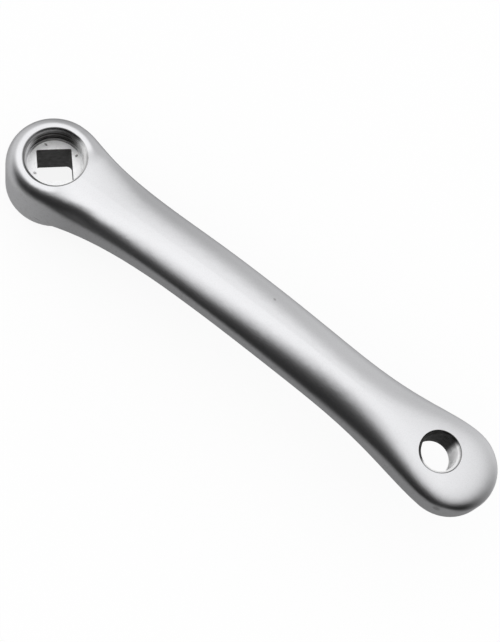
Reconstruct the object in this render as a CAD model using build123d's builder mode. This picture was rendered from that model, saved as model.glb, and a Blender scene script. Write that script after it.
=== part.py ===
# Left crank arm of a bicycle: a forged aluminium lever between the bottom bracket spindle and the pedal.
# The origin is on the spindle axis at the inner face of the boss, +Z points outward and +X to the pedal.
from build123d import *
from math import radians, tan
import os

# Driving dimensions, in millimetres and degrees
crank_length = 170.0            # spindle axis to pedal axis
draft_angle = 1.0               # lean of the forged side walls
inner_chamfer = 2.5             # along the edges of the inner face

# Spindle boss
boss_radius = 17.7              # at the top of its side wall
boss_height = 25.3              # inner face to the crown over the spindle axis
boss_level_reach = 11.5         # the crown is level this far from the spindle axis
boss_shoulder_depth = 9.8       # height of the rounding on the boss's outer edge

# Extractor recess, threaded M22 x 1 for the crank puller
recess_thread_radius = 11.0
recess_bevel = 0.7
recess_rim_drop = 0.6           # fall of the boss's outer face from its crown to the rim
recess_step = 0.8               # the plain ring under the thread stands in by this much
recess_step_height = 1.4
floor_height = 17.0             # inner face to the recess floor, the length of the square socket

# Square socket for the tapered spindle, narrow end at the recess floor
socket_width = 12.7
socket_taper = 2.0              # lean of each flat
socket_outer_corner = 0.6
socket_inner_corner = 2.0
socket_angle = 45.0             # the corners point along and across the arm

# Arm, with an even width between the neck and the flare
arm_half_width = 11.8
neck_length = 65.0              # spindle axis to the start of the even width
flare_length = 56.0             # end of the even width to the centre of the eye
bend_length = 40.5              # end of the outward bend to the centre of the eye
bend_thickness = 12.3           # crown to inner face at the end of the bend
root_height = 0.8               # inner face of the arm, carried on to the spindle axis
neck_shoulder_depth = 5.1
bend_shoulder_depth = 7.9

# Pedal eye
eye_overhang = 6.6              # the eye's round end is centred this far past the pedal axis
eye_level_length = 21.8         # level length of the eye before the centre of its round end
eye_radius = 15.9
eye_crown_height = 40.4         # boss's inner face to the outer face of the eye
eye_thickness = 13.3
eye_crown_rise = 0.2            # from the end of the bend to the eye
eye_shoulder_depth = 5.3

# Pedal hole, threaded 9/16 inch x 20
pedal_thread_radius = 7.144
pedal_bevel = 0.4

# Fullness of a section's outer corner: share of the shoulder's depth, share of the half width
boss_fullness = (0.78, 0.87)
neck_fullness = (0.58, 0.65)
bend_fullness = (0.61, 0.48)
eye_fullness = (0.79, 0.85)

# Handle lengths of the guide curves
boss_plan_handle = 9.0
neck_plan_handle = 46.0
flare_plan_handle = 41.0
eye_plan_handle = 15.0
boss_crown_handle = 18.0
bend_crown_handle = 70.0
root_inner_handle = 9.0
bend_inner_handle = 103.5
level_handle = 10.0

overcut = 2.0                   # how far a cutter runs past the face that it opens

eye_centre = crank_length + eye_overhang
flare_start = eye_centre - flare_length
bend_end = eye_centre - bend_length
level_start = eye_centre - eye_level_length
bend_crown_height = eye_crown_height - eye_crown_rise
bend_inner_height = bend_crown_height - bend_thickness
eye_inner_height = eye_crown_height - eye_thickness

# Guide curves: the edge of the arm in plan, and its crown and inner face in side view
with BuildLine(Plane.XY) as plan_guide:
    Bezier(
        (0, boss_radius),
        (boss_plan_handle, boss_radius),
        (neck_length - neck_plan_handle, arm_half_width),
        (neck_length, arm_half_width),
    )
    Line((neck_length, arm_half_width), (flare_start, arm_half_width))
    Bezier(
        (flare_start, arm_half_width),
        (flare_start + flare_plan_handle, arm_half_width),
        (eye_centre - eye_plan_handle, eye_radius),
        (eye_centre, eye_radius),
    )

with BuildLine(Plane.XZ) as crown_guide:
    Line((0, boss_height), (boss_level_reach, boss_height))
    Bezier(
        (boss_level_reach, boss_height),
        (boss_level_reach + boss_crown_handle, boss_height),
        (bend_end - bend_crown_handle, bend_crown_height),
        (bend_end, bend_crown_height),
    )
    Bezier(
        (bend_end, bend_crown_height),
        (bend_end + level_handle, bend_crown_height),
        (level_start - level_handle, eye_crown_height),
        (level_start, eye_crown_height),
    )
    Line((level_start, eye_crown_height), (eye_centre, eye_crown_height))

with BuildLine(Plane.XZ) as inner_guide:
    Bezier(
        (0, root_height),
        (root_inner_handle, root_height),
        (bend_end - bend_inner_handle, bend_inner_height),
        (bend_end, bend_inner_height),
    )
    Bezier(
        (bend_end, bend_inner_height),
        (bend_end + level_handle, bend_inner_height),
        (level_start - level_handle, eye_inner_height),
        (level_start, eye_inner_height),
    )
    Line((level_start, eye_inner_height), (eye_centre, eye_inner_height))


def ease(x, start, end):
    """Smooth step along the arm, from 0 at the start to 1 at the end."""
    share = min(max((x - start) / (end - start), 0), 1)
    return share * share * (3 - 2 * share)


def along_arm(x, boss, neck, bend, eye):
    """Value at a station, eased from the boss to the neck, the bend and the eye."""
    value = boss + (neck - boss) * ease(x, 0, neck_length)
    value += (bend - neck) * ease(x, neck_length, bend_end)
    return value + (eye - bend) * ease(x, bend_end, eye_centre)


def half_section(x, inner, crowned=True):
    """Half of a section at a station: inner face, chamfer, side wall and, if crowned, the outer face."""
    station = Plane.YZ.offset(x)
    half_width = (plan_guide.wire() & station).Y
    crown = (crown_guide.wire() & station).Z
    depth = along_arm(x, boss_shoulder_depth, neck_shoulder_depth, bend_shoulder_depth, eye_shoulder_depth)
    shares = zip(boss_fullness, neck_fullness, bend_fullness, eye_fullness)
    rise, reach = [along_arm(x, *share) for share in shares]
    wall_top = crown - depth
    foot_height = inner + inner_chamfer
    foot_width = half_width + tan(radians(draft_angle)) * (wall_top - foot_height)
    Polyline(
        (half_width, wall_top),
        (foot_width, foot_height),
        (foot_width - inner_chamfer, inner),
        (0, inner),
    )
    if crowned:
        shoulder = Bezier(
            (half_width, wall_top),
            (half_width, wall_top + rise * depth),
            (reach * half_width, crown),
            (0, crown),
        )
        Line(shoulder @ 1, (0, inner))
    else:
        Polyline((half_width, wall_top), (0, wall_top), (0, inner))


def spread(start, end, count):
    """Even stations from the start up to, and without, the end."""
    return [start + (end - start) * step / count for step in range(count)]


stations = spread(0, neck_length, 8) + spread(neck_length, bend_end, 3) + spread(bend_end, eye_centre, 3)
stations.append(eye_centre)

with BuildPart() as crank_arm:
    # Arm: half sections on the guides, from the spindle axis to the centre of the eye, then mirrored
    for x in stations:
        with BuildSketch(Plane.YZ.offset(x)):
            with BuildLine():
                half_section(x, (inner_guide.wire() & Plane.YZ.offset(x)).Z)
            make_face()
    loft()
    mirror(about=Plane.XZ)

    # Round ends and the foot of the boss: end sections turned about the axes of the boss and the eye
    for x, inner, crowned, turn in (
        (0, 0, True, 180),
        (eye_centre, eye_inner_height, True, -180),
        (0, 0, False, 360),
    ):
        with BuildSketch(Plane.YZ.offset(x)):
            with BuildLine():
                half_section(x, inner, crowned)
            make_face()
        revolve(axis=Axis((x, 0, 0), (0, 0, 1)), revolution_arc=turn)

    # Extractor recess: floor, plain ring, thread bore and bevelled rim
    rim_height = boss_height - recess_rim_drop
    with BuildSketch(Plane.XZ):
        with BuildLine():
            Polyline(
                (0, floor_height),
                (recess_thread_radius - recess_step, floor_height),
                (recess_thread_radius - recess_step, floor_height + recess_step_height),
                (recess_thread_radius, floor_height + recess_step_height),
                (recess_thread_radius, rim_height - recess_bevel),
                (recess_thread_radius + recess_bevel, rim_height),
                (recess_thread_radius + recess_bevel, rim_height + overcut),
                (0, rim_height + overcut),
                close=True,
            )
        make_face()
    revolve(axis=Axis.Z, mode=Mode.SUBTRACT)

    # Square socket, tapering from the inner face to the recess floor
    socket_inner_width = socket_width + 2 * floor_height * tan(radians(socket_taper))
    with BuildSketch(Plane.XY):
        RectangleRounded(socket_inner_width, socket_inner_width, socket_inner_corner, rotation=socket_angle)
    with BuildSketch(Plane.XY.offset(floor_height)):
        RectangleRounded(socket_width, socket_width, socket_outer_corner, rotation=socket_angle)
    loft(mode=Mode.SUBTRACT)

    # Pedal hole, bevelled at both faces
    with BuildSketch(Plane.XZ.shift_origin((crank_length, 0, 0))):
        with BuildLine():
            Polyline(
                (0, eye_inner_height - overcut),
                (pedal_thread_radius + pedal_bevel + overcut, eye_inner_height - overcut),
                (pedal_thread_radius, eye_inner_height + pedal_bevel),
                (pedal_thread_radius, eye_crown_height - pedal_bevel),
                (pedal_thread_radius + pedal_bevel + overcut, eye_crown_height + overcut),
                (0, eye_crown_height + overcut),
                close=True,
            )
        make_face()
    revolve(axis=Axis((crank_length, 0, 0), (0, 0, 1)), mode=Mode.SUBTRACT)

os.makedirs("parts", exist_ok=True)
crank_arm.part.label = "crank_arm"
export_step(crank_arm.part, "parts/crank_arm.step")
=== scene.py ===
# %% [markdown]
# A left crank arm of a bicycle, forged in aluminium and left a satin silver. The solid comes from the
# part's own model, in metres, with the spindle axis at the origin and the arm along +X. This lesson adds
# what the solid leaves out: the two screw threads, the finish of each surface, and a small photo studio.

# %% Load the solid
import math

import bpy
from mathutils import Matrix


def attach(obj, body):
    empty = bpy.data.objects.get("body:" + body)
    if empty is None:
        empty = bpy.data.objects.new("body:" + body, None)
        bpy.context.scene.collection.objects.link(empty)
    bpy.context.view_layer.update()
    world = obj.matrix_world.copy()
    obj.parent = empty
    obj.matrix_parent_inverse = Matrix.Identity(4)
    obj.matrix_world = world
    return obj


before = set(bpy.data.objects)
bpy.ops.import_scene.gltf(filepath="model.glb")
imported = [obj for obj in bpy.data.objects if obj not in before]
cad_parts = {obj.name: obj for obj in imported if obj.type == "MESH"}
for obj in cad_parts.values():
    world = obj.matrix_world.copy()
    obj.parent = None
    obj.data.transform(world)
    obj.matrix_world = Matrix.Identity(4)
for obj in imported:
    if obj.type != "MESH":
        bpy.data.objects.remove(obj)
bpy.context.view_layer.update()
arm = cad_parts["crank_arm"]

# %% [markdown]
# A finish is a tree of nodes, and most of its maths is masks: this far from an axis, this steep, this worn.
# Wiring every Math node by hand would hide that under hundreds of lines. So the class below wraps one
# socket, and a sum on it adds the Math node by itself. Vectors and colours have methods of their own,
# because a Math node knows only numbers, and one method makes any other node: settings first, then the
# values and links of its sockets.

# %% Node sums
class Wire:
    """A socket in a node tree. Sums on it add Math nodes to that tree."""

    def __init__(self, tree, socket=None):
        self.tree = tree
        self.socket = socket

    def add(self, kind, inputs=None, output=0, **settings):
        """Any node: its settings first, then the values or links of its sockets."""
        node = self.tree.nodes.new("ShaderNode" + kind)
        for name, value in settings.items():
            setattr(node, name, value)
        for key, value in (inputs or {}).items():
            if isinstance(value, Wire):
                self.tree.links.new(value.socket, node.inputs[key])
            else:
                node.inputs[key].default_value = value
        return Wire(self.tree, node.outputs[output] if node.outputs else None)

    def math(self, operation, first, second=0.0):
        return self.add("Math", {0: first, 1: second}, operation=operation)

    def __add__(self, other):
        return self.math("ADD", self, other)

    def __radd__(self, other):
        return self.math("ADD", other, self)

    def __sub__(self, other):
        return self.math("SUBTRACT", self, other)

    def __rsub__(self, other):
        return self.math("SUBTRACT", other, self)

    def __mul__(self, other):
        return self.math("MULTIPLY", self, other)

    def __rmul__(self, other):
        return self.math("MULTIPLY", other, self)

    def __truediv__(self, other):
        return self.math("DIVIDE", self, other)

    def __rtruediv__(self, other):
        return self.math("DIVIDE", other, self)

    def sine(self):
        return self.math("SINE", self)

    def fade(self, start, end):
        """0 at the start and 1 at the end, eased between them."""
        return self.add("MapRange", {"Value": self, "From Min": start, "From Max": end},
                        interpolation_type="SMOOTHSTEP")

    def vector(self, operation, other=(0, 0, 0), output="Vector"):
        """Vector Math on this vector and another."""
        return self.add("VectorMath", {0: self, 1: other}, output, operation=operation)

    def dot(self, other):
        return self.vector("DOT_PRODUCT", other, "Value")

    def scaled(self, factor):
        return self.add("VectorMath", {0: self, "Scale": factor}, operation="SCALE")

    def part(self, axis):
        """One coordinate of this vector."""
        return self.add("SeparateXYZ", {0: self}, axis)

    def mix(self, first, second, share):
        """One colour into another by a share."""
        return self.add("Mix", {0: share, 6: first, 7: second}, output=2, data_type="RGBA")


print("node sums ready")

# %% [markdown]
# One forging carries several finishes, and each belongs to a place: the satin outside, the turned recess,
# the broached socket, the two bores. Painting masks by hand would need the mesh unwrapped. The solid is one
# mesh with known sizes, so a place is told from the metal's own coordinates: distance from the spindle axis
# and from the pedal axis, height and slope, in millimetres as on the drawing. The marks then stay on the
# metal in every view.

# %% Where a point lies
def new_finish(name):
    """An empty material and the start of its tree."""
    material = bpy.data.materials.new(name)
    material.use_nodes = True
    material.node_tree.nodes.clear()
    return material, Wire(material.node_tree)


millimetres = 1000      # in a metre
crank_length = 170      # spindle axis to pedal axis
pedal_axis = (crank_length, 0, 0)

satin, metal = new_finish("satin_aluminium")
place = metal.add("TexCoord", output="Object").scaled(millimetres)
plan = place.vector("MULTIPLY", (1, 1, 0))
facing = metal.add("NewGeometry", output="Normal")
x = place.part("X")
height = place.part("Z")
slope = facing.part("Z")
sideways = facing.part("Y")
from_spindle = plan.vector("LENGTH", output="Value")
from_pedal = plan.vector("DISTANCE", pedal_axis, "Value")
print("coordinates:", len(satin.node_tree.nodes), "nodes")

# %% [markdown]
# The recess is a turned cup with a flat floor, a threaded wall and a bevelled rim, and the square socket
# goes on below its floor. The pedal hole is a bore with a bevelled mouth. Each of them could be picked out
# by its faces, but a finish can't see faces, only points. So a place is a product of fades, one for each of
# its limits, and a fade that is a tenth of a millimetre wide leaves no jagged border.

# %% Places on the arm
recess_radius = 11.0    # bore of the extractor thread
recess_bottom = 17.0    # height of the recess floor
bevel_foot = 24.0       # height at which the rim's bevel starts
socket_limit = 9.9      # the corners of the socket lie inside this radius
pedal_radius = 7.144    # bore of the pedal thread
pedal_mouth = 7.5       # just inside the edge of the bevel

steep = (slope * slope).fade(0.20, 0.06)
in_recess = from_spindle.fade(recess_radius + 0.72, recess_radius + 0.62)
in_recess = in_recess * height.fade(recess_bottom - 0.6, recess_bottom - 0.2)
thread_wall = in_recess * height.fade(recess_bottom + 0.3, recess_bottom + 0.6)
recess_floor = in_recess - thread_wall
outside = 1 - in_recess
rim = from_spindle.fade(recess_radius + 0.9, recess_radius + 0.74)
rim = rim * from_spindle.fade(recess_radius, recess_radius + 0.1)
rim = rim * height.fade(bevel_foot - 0.1, bevel_foot + 0.1)
socket = from_spindle.fade(socket_limit + 0.05, socket_limit - 0.05) * steep
socket = socket * height.fade(recess_bottom - 0.1, recess_bottom - 0.3)
pedal_bore = from_pedal.fade(pedal_mouth, pedal_mouth - 0.1)
pedal_rim = from_pedal.fade(pedal_mouth + 0.06, pedal_mouth)
pedal_rim = pedal_rim * from_pedal.fade(pedal_radius - 0.044, pedal_radius + 0.056)
wall = steep * outside * (1 - pedal_bore) * (1 - socket)
print("places on the arm:", len(satin.node_tree.nodes), "nodes")

# %% [markdown]
# Forged aluminium is brushed to a satin and anodised, which leaves a soft, even sheen with a grain well
# under a millimetre. An image texture would need unwrapping and would repeat. Noise in the metal's own
# coordinates does neither: a broad one varies sheen and tone, a fine one is the grain, one puts darker
# speckles on the walls, and one breaks up wear and the painted shade in the bores. The wall of the boss is
# duller than the arm, so it gets a mask too.

# %% Grain and sheen
def noise(scale, detail, distortion=0.0):
    """Noise in the metal, with about as many patches to a millimetre as the scale says."""
    sockets = {"Vector": place, "Scale": scale, "Detail": detail, "Distortion": distortion}
    return metal.add("TexNoise", sockets)


satin_roughness = 0.29
broad = noise(0.06, 4.0)
grain = noise(2.6, 3.0)
speckle = noise(0.9, 3.0)
blot = noise(0.45, 4.0)
dulled = slope.fade(0.66, 0.3) * outside * x.fade(22, -6)
rough = satin_roughness + broad * 0.05 + grain * 0.02 + wall * 0.02
print("grain and sheen:", len(satin.node_tree.nodes), "nodes")

# %% [markdown]
# A lathe cuts the recess from the outer side, and its tool leaves fine rings on the floor. Cut as geometry
# they would cost thousands of faces for a hundredth of a millimetre, so they are a sine of the distance from
# the axis, for the bump. Both bores also get painted shade on one side and painted light on another. A side
# could be an angle around the axis, but an angle jumps where the circle closes. How far a point lies in one
# direction does not, and one Vector Math node gives it.

# %% Rings and sides
def towards(azimuth, elevation=0):
    """Direction at an angle from the arm's length and an angle above the level, in degrees."""
    turn = math.radians(azimuth)
    rise = math.radians(elevation)
    return (math.cos(rise) * math.cos(turn), math.cos(rise) * math.sin(turn), math.sin(rise))


rings = (from_spindle * 14.0).sine()
bands = (height * 3.6).sine()
# Sides around the bores, for the painted shade and painted light below
back = plan.dot(towards(135))
back_side = back.fade(5.2, 9.2)
bright_side = plan.dot(towards(75)).fade(9.4, 10.9)
front_side = plan.dot(towards(-60)).fade(2.0, 7.0)
heel_side = x.fade(-4, -9)
dark_side = plan.vector("SUBTRACT", pedal_axis).dot(towards(155)).fade(-1.6, 1.4)
print("rings and sides:", len(satin.node_tree.nodes), "nodes")

# %% [markdown]
# Shade is painted into the bores: the square socket is near black, the thread wall darker on its far side
# and towards the heel, and one side of the pedal bore and the corner of the recess floor dark, where shade
# falls. It could be a second shader mixed over the first. As a dark, rougher colour in the same shader it
# needs one mask only, and noise breaks up its edge. Light is painted too: the sides that face it are paler,
# which a lower Metallic gives, as more of their light is scattered and less of it mirrored.

# %% Painted shade and painted light in the bores
plain_ring = 10.2       # radius of the unthreaded ring at the foot of the recess wall
# Painted shade on the thread wall: darker on its far side and towards the heel, in bands up its height
shaded_band = height.fade(recess_bottom + 0.4, recess_bottom + 1.6)
shaded_band = shaded_band * height.fade(bevel_foot + 0.2, bevel_foot - 1.4)
thread_wall_shade = 0.1 + back_side * (shaded_band * 0.5 + 0.3) + bands * 0.1
thread_wall_shade = thread_wall_shade + (1 - back_side) * heel_side * height.fade(bevel_foot - 1.6, bevel_foot - 0.6) * 0.5
# Painted shade in the corner where the recess floor meets its far wall
corner = recess_floor * from_spindle.fade(plain_ring - 0.45, plain_ring - 0.2) * back.fade(3.5, 7.5)
# Painted shade: the square socket near black and the pedal bore dark on one side
painted_bore_shade = thread_wall * thread_wall_shade + socket * 0.92 + pedal_bore * dark_side * 0.9 + corner * 0.75
painted_bore_shade = painted_bore_shade + (blot - 0.5) * (thread_wall + socket + pedal_bore) * 0.25

# Painted light: the lit side of the pedal bore, the recess floor, most on its far side, and the thread wall
# towards the arm are paler and less metallic
painted_light = from_pedal.fade(pedal_radius + 0.156, pedal_radius + 0.006) * (1 - dark_side) * 1.8
painted_light = painted_light + recess_floor * (0.3 + back_side * 0.9)
painted_light = painted_light + thread_wall * (1 - back_side) * x.fade(0, 6) * 1.9
smears = noise(0.7, 6.0, 1.5).fade(0.5, 0.68) * in_recess
print("grease and wiped metal:", len(satin.node_tree.nodes), "nodes")

# %% [markdown]
# Small marks make the metal real: three dents that a tool left on the recess floor, a speck on the arm, a
# rub on the eye and a scratch on the boss. They are too shallow to model and too few for a noise, which
# can't be told where to go. So each is a soft ball around one point, stretched where the mark is long.

# %% Small marks
def mark(centre, stretch, radius):
    """1 at a point on the metal and 0 outside a radius, both in millimetres."""
    offset = place.vector("SUBTRACT", centre).vector("MULTIPLY", stretch)
    return offset.vector("LENGTH", output="Value").fade(radius, radius * 0.4)


dents = mark((-7.9, 4.0, recess_bottom), (0.8, 1.5, 1), 0.8)
dents = dents + mark((3.2, 8.2, recess_bottom), (1.4, 1, 1), 0.75)
dents = dents + mark((-3.3, -7.1, recess_bottom), (1, 1.6, 1), 0.8) * 0.7
dents = dents * recess_floor * blot.fade(0.2, 0.6)

speck_on_arm = mark((94.1, 5.7, 37.7), (0.7, 1, 0.3), 0.55)
rub_on_eye = mark((180.8, -15.2, 36.2), (0.5, 0.5, 0.5), 0.9)
scratch_on_boss = mark((6.7, -17.2, 7.4), (0.4, 0.4, 2.2), 0.9)
specks = speck_on_arm + rub_on_eye + scratch_on_boss
print("small marks:", len(satin.node_tree.nodes), "nodes")

# %% [markdown]
# Around the recess the real boss has a narrow level land, and it turns down in a tighter curve than the
# dome of the solid. Next to the boss the arm's shoulders fall away sooner too. The gap is under a
# millimetre, but a soft sheen shows it. The mesh of the solid is never changed here, so the shading stands
# in for the form: the normal leans inward on the land, outward just past it, and sideways on the shoulders.

# %% Land around the recess
near = sideways.fade(0.1, -0.15)
off_the_arm = (x / from_spindle).fade(0.8, 0.45) * outside * slope.fade(0.1, 0.4)
lean = from_spindle.fade(14.6, 12.8) * -0.23
lean = lean + from_spindle.fade(14.6, 16.0) * sideways.fade(-0.05, -0.5) * 0.18
lean = lean - from_spindle.fade(16.8, 13.5) * (1 - near) * 0.12
land_tilt = plan.vector("NORMALIZE").scaled(lean * off_the_arm)

falls = x.fade(7, 14) * x.fade(48, 28) * near * (slope.fade(0.975, 0.90) * 0.45 - 0.15)
falls = falls + x.fade(8, 19) * x.fade(30, 20) * near * slope.fade(0.985, 0.96) * 0.5
falls = falls - x.fade(8, 14) * x.fade(38, 20) * (1 - near) * 0.45
falls = falls * slope.fade(0.5, 0.85) * outside * sideways
tilt = land_tilt.vector("ADD", metal.add("CombineXYZ", {"Y": falls}))
leaning = facing.vector("ADD", tilt).vector("NORMALIZE")
print("leaning normal:", len(satin.node_tree.nodes), "nodes")

# %% [markdown]
# The colour goes from bare metal through grain, worn edge, turned floor with its painted light and painted
# rim shade to painted shade in the bores, in the order in which they lie on the arm, so each layer is mixed
# over the ones before it. Edges that hands and tools touch are rubbed brighter. They could be picked out by
# hand, but the Bevel node finds them: it rounds the normal at an edge, and where that departs from the true
# one there is an edge to rub.

# %% Colour layers
rubbed_width = 0.0005
rounded = metal.add("Bevel", {"Radius": rubbed_width}, samples=6)
worn = (1 - rounded.dot(facing)).fade(0.01, 0.12) * blot.fade(0.3, 0.6)
# Painted shade on the bevels of the recess and the pedal hole: darkest on the near side of the recess and on
# the pedal hole's side towards the boss, lighter on the side that faces the light
rim_shade = rim * (0.5 + front_side * 0.4 - bright_side * 0.4 - heel_side * 0.25)
rim_shade = rim_shade + pedal_rim * (0.6 + x.fade(crank_length + 3, crank_length - 5) * 0.4)

layers = {
    "grain": ((0.71, 0.71, 0.715, 1), grain.fade(0.4, 0.7) * 0.4),
    "speckled walls": ((0.58, 0.575, 0.565, 1), wall * speckle.fade(0.5, 0.8) * 0.6),
    "worn edges": ((0.90, 0.90, 0.90, 1), worn * 0.6),
    "turned floor and painted light": ((0.97, 0.97, 0.97, 1), recess_floor + painted_light * 0.5),
    "smears": ((0.42, 0.415, 0.40, 1), smears * 0.15),
    "rims": ((0.16, 0.16, 0.16, 1), rim_shade),
    "small marks": ((0.16, 0.15, 0.14, 1), dents * 0.8 + specks * 0.4),
    "painted_bore_shade": ((0.035, 0.033, 0.03, 1), painted_bore_shade),
}
bare_metal = ((0.79, 0.79, 0.80, 1), (0.83, 0.83, 0.84, 1))
colour = metal.mix(*bare_metal, broad)
for shade, share in layers.values():
    colour = metal.mix(colour, shade, share)
print("colour layers:", ", ".join(layers))

# %% [markdown]
# All of it meets in one metal shader, which is what bare aluminium is: nearly all reflection and hardly any
# colour of its own. Shaders for metal, painted shade and painted light could be stacked instead, but one
# shader keeps a single set of inputs. The places painted with light and the wall of the boss are less
# metallic than the rest, and the painted shade is rougher. Grain, rings and dents are bumps on top of the
# leaning normal.

# %% Satin aluminium
bumps = grain * 0.012 + rings * recess_floor * 0.010 - dents * 0.15
normal = metal.add("Bump", {"Strength": 1.0, "Distance": 0.001, "Height": bumps, "Normal": leaning})
shader = metal.add("BsdfPrincipled", {
    "Base Color": colour,
    "Metallic": 1 - painted_light * 0.45 - dulled * 0.2,
    "Roughness": rough + painted_bore_shade * 0.1 + painted_light * 0.12 - worn * 0.06,
    "Normal": normal,
})
metal.add("OutputMaterial", {"Surface": shader})
arm.data.materials.clear()
arm.data.materials.append(satin)
print("satin aluminium:", len(satin.node_tree.nodes), "nodes")

# %% [markdown]
# Both ends of the arm are tapped: a fine thread of 22 mm in the boss takes the extractor that pulls the arm
# off its spindle, and the eye takes the pedal, with a left-hand thread on this side of a bicycle. The solid
# has plain bores at the outer radius of each thread, so the ridge is added here. A bump map would give no
# depth at the rim and a Screw modifier no run-out, so the ridge is a helix of small cross-sections: two
# flanks at 60 degrees and a flat crest, sunk a little into the bore and thinned at both ends.

# %% Thread profile
steps_a_turn = 96
run_out_steps = steps_a_turn / 4
depth_share = 0.5413    # depth of an internal thread as a share of its pitch
sunk = 0.04             # the foot of the ridge lies this far inside the metal


def ridge_points(axis_x, bore, pitch, low, high, hand, turned):
    """Corners of a ridge's cross-sections, in metres, and the number of steps between them."""
    steps = int((high - low) / pitch * steps_a_turn)
    foot = bore + sunk
    points = []
    for step in range(steps + 1):
        angle = math.radians(turned) + hand * 2 * math.pi * step / steps_a_turn
        middle = low + pitch * step / steps_a_turn
        run_out = min(1, step / run_out_steps, (steps - step) / run_out_steps)
        # A sliver is left at both ends, so that no face there has an area of zero
        crest = bore - depth_share * pitch * max(run_out, 0.02)
        half_base = pitch * 7 / 16 * max(run_out, 0.05)
        half_crest = pitch / 8 * max(run_out, 0.05)
        profile = ((foot, -half_base), (crest, -half_crest), (crest, half_crest), (foot, half_base))
        for radius, rise in profile:
            corner = (axis_x + radius * math.cos(angle), radius * math.sin(angle), middle + rise)
            points.append([coordinate / millimetres for coordinate in corner])
    return points, steps


print("thread profile:", steps_a_turn, "cross-sections a turn")

# %% [markdown]
# The cross-sections become a skin of four strips with a cap at each end. Joined to the arm it would change
# the solid, so each ridge is an object of its own, which rides on the arm and wears the same finish as the
# metal around it. A left-hand helix turns the strips inside out, so its faces are flipped.

# %% Thread ridges
def thread_ridge(name, axis_x, bore, pitch, low, high, hand, turned):
    """Ridge of an internal thread around an axis along Z, between two heights, all in millimetres."""
    points, steps = ridge_points(axis_x, bore, pitch, low, high, hand, turned)
    faces = [(0, 1, 2, 3), tuple(4 * steps + corner for corner in (3, 2, 1, 0))]
    for step in range(steps):
        for corner in range(4):
            first = 4 * step + corner
            second = 4 * step + (corner + 1) % 4
            faces.append((first, first + 4, second + 4, second))
    mesh = bpy.data.meshes.new(name)
    mesh.from_pydata(points, [], faces)
    if hand < 0:
        mesh.flip_normals()
    mesh.shade_smooth()
    mesh.set_sharp_from_angle(angle=math.radians(30))
    ridge = bpy.data.objects.new(name, mesh)
    bpy.context.scene.collection.objects.link(ridge)
    mesh.materials.append(satin)
    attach(ridge, "root")
    print(name, len(mesh.polygons), "faces")


right_hand = 1
left_hand = -1
thread_ridge("extractor_thread", axis_x=0, bore=recess_radius, pitch=1.0, low=18.85, high=23.6,
             hand=right_hand, turned=0)
thread_ridge("pedal_thread", axis_x=crank_length, bore=pedal_radius, pitch=1.27, low=27.6, high=39.6,
             hand=left_hand, turned=-90)

# %% [markdown]
# The photograph shows the arm on pure white, as in a parts catalogue. Light strong enough to whiten paper
# would burn out the metal too. A Light Path node does without: the paper answers white to the camera and to
# mirrors, and to all other rays it is ordinary paper. A share of ordinary paper is left in, so the arm keeps
# a faint shadow where it lies. The world is the same white above the horizon.

# %% White paper and world
def white_to_eye(tree, shade, kind):
    """White where the camera, a mirror or glass looks straight at it, and the given shade for other rays."""
    rays = ("Is Camera Ray", "Is Glossy Ray", "Is Transmission Ray")
    seen = [tree.add("LightPath", output=ray) for ray in rays]
    white = tree.add(kind, {"Color": (1, 1, 1, 1), "Strength": 1.0})
    return tree.add("MixShader", {0: seen[0] + seen[1] + seen[2], 1: shade, 2: white})


world = bpy.data.worlds.new("studio")
bpy.context.scene.world = world
world.use_nodes = True
world.node_tree.nodes.clear()
sky = Wire(world.node_tree)
soft = sky.add("Background", {"Color": (1, 1, 1, 1), "Strength": 1.0})
sky.add("OutputWorld", {"Surface": white_to_eye(sky, soft, "Background")})

shadow_share = 0.12
white_paper, paper = new_finish("white_paper")
fibre = paper.add("TexNoise", {"Vector": paper.add("TexCoord", output="Object"), "Scale": 900.0})
pulp = paper.mix((0.95, 0.95, 0.95, 1), (0.98, 0.98, 0.98, 1), fibre)
sheet = paper.add("BsdfPrincipled", {"Base Color": pulp, "Roughness": 1.0, "Specular IOR Level": 0.0})
lit_sheet = white_to_eye(paper, sheet, "Emission")
paper.add("OutputMaterial", {"Surface": paper.add("MixShader", {0: shadow_share, 1: lit_sheet, 2: sheet})})
print("white paper:", len(white_paper.node_tree.nodes), "nodes")

# %% [markdown]
# A photographer lets the paper sweep up behind the object. White paper under a white world has no visible
# end, so one large flat square does, with its edges metres away. It lies a tenth of a millimetre under the
# arm, so that the two faces don't fight. The metal doesn't mirror it, because the tent that comes next has
# a ground of its own.

# %% Paper floor
half_width = 6
mesh = bpy.data.meshes.new("floor")
square = [(-half_width, -half_width, 0), (half_width, -half_width, 0), (half_width, half_width, 0),
          (-half_width, half_width, 0)]
mesh.from_pydata(square, [], [(0, 1, 2, 3)])
floor = bpy.data.objects.new("floor", mesh)
floor.location.z = -0.0001
bpy.context.scene.collection.objects.link(floor)
mesh.materials.append(white_paper)
floor.visible_glossy = False
print("paper floor:", 2 * half_width, "m wide")

# %% [markdown]
# Satin metal has little colour of its own: what the eye reads as its form is the room that it reflects. The
# arm shows a bright ceiling, softer sides and one broad dark gap on the near side, as in a cloth tent with
# the opening towards the camera. Card by card that would be fiddly, so the tent is one large ball whose glow
# depends on direction: a broad pool of light for each bright side, and dark pools for the dim sides and the
# opening.

# %% Tent cloth
tent_cloth, cloth = new_finish("tent_cloth")
look = cloth.add("TexCoord", output="Object").vector("NORMALIZE")


def pool(azimuth, elevation, outer, inner):
    """1 within an angle of a direction and 0 beyond a wider one, all in degrees."""
    nearness = look.dot(towards(azimuth, elevation))
    return nearness.fade(math.cos(math.radians(outer)), math.cos(math.radians(inner)))


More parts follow.
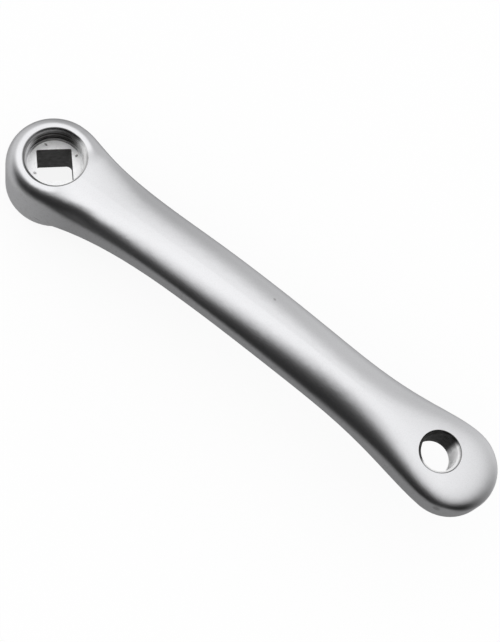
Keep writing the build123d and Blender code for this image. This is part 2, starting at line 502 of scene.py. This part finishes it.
plain_cloth = 0.371
ceiling = pool(200, 77, 58, 0.3) * 0.84
boss_end = pool(199, 15, 75, 5) * 0.296
far_side = pool(51, 5, 80, 5) * 0.35
pedal_end = pool(2.6, 15, 60, 5) * 0.41
near_corner = pool(-40, 30, 40, 5) * 0.2
ground = pool(0, -90, 95, 53) * 0.123
opening = pool(-98.3, 27.9, 67.4, 26.4)
cloth_light = plain_cloth + ceiling + boss_end + far_side - pedal_end - near_corner - ground
gap_light = 0.02        # what little the opening still gives
glow = cloth_light * (1 - opening) + gap_light

black = (0, 0, 0, 1)
daylight = (0.99, 0.992, 1, 1)
brightest = 2.0
tint = cloth.mix(black, daylight, glow * (1 / brightest))
lit_cloth = cloth.add("BsdfPrincipled", {
    "Base Color": black,
    "Specular IOR Level": 0.0,
    "Emission Color": tint,
    "Emission Strength": brightest,
})
cloth.add("OutputMaterial", {"Surface": lit_cloth})
print("tent cloth:", len(tent_cloth.node_tree.nodes), "nodes")

# %% [markdown]
# The ball is a plain sphere around the middle of the arm, because only its glow is ever seen. As a real tent
# it would stand in the camera's way and shade the paper. Switched off for those rays, it shows in
# reflections alone, and the paper keeps the even light of the world.

# %% Light tent
tent_middle = (crank_length / 2 / millimetres, 0, 0)
bpy.ops.mesh.primitive_uv_sphere_add(segments=64, ring_count=32, radius=3, location=tent_middle)
tent = bpy.context.object
tent.name = "light_tent"
tent.data.materials.append(tent_cloth)
tent.visible_camera = False
tent.visible_diffuse = False
tent.visible_transmission = False
tent.visible_shadow = False
print("light tent around", tuple(tent.location))

# %% [markdown]
# The photograph was taken from half a metre above the arm, a little to the near side, with a moderate tele
# lens. A camera that tracks a target is quick to set up, but its roll can't be matched. Where the rims of
# the recess and of the pedal hole fall in the picture fixes the place, the turn and the lens, so the camera
# is set by numbers.

# %% Camera
camera = bpy.data.objects.new("camera", bpy.data.cameras.new("camera"))
bpy.context.scene.collection.objects.link(camera)
camera.location = (0.1313708, -0.1604639, 0.4710631)
camera.rotation_euler = [math.radians(angle) for angle in (18.25967, -8.7073537, 38.7659494)]
camera.data.lens = 76.0036
bpy.context.scene.camera = camera
bpy.context.scene.view_settings.view_transform = "Standard"
print("camera at", tuple(camera.location))
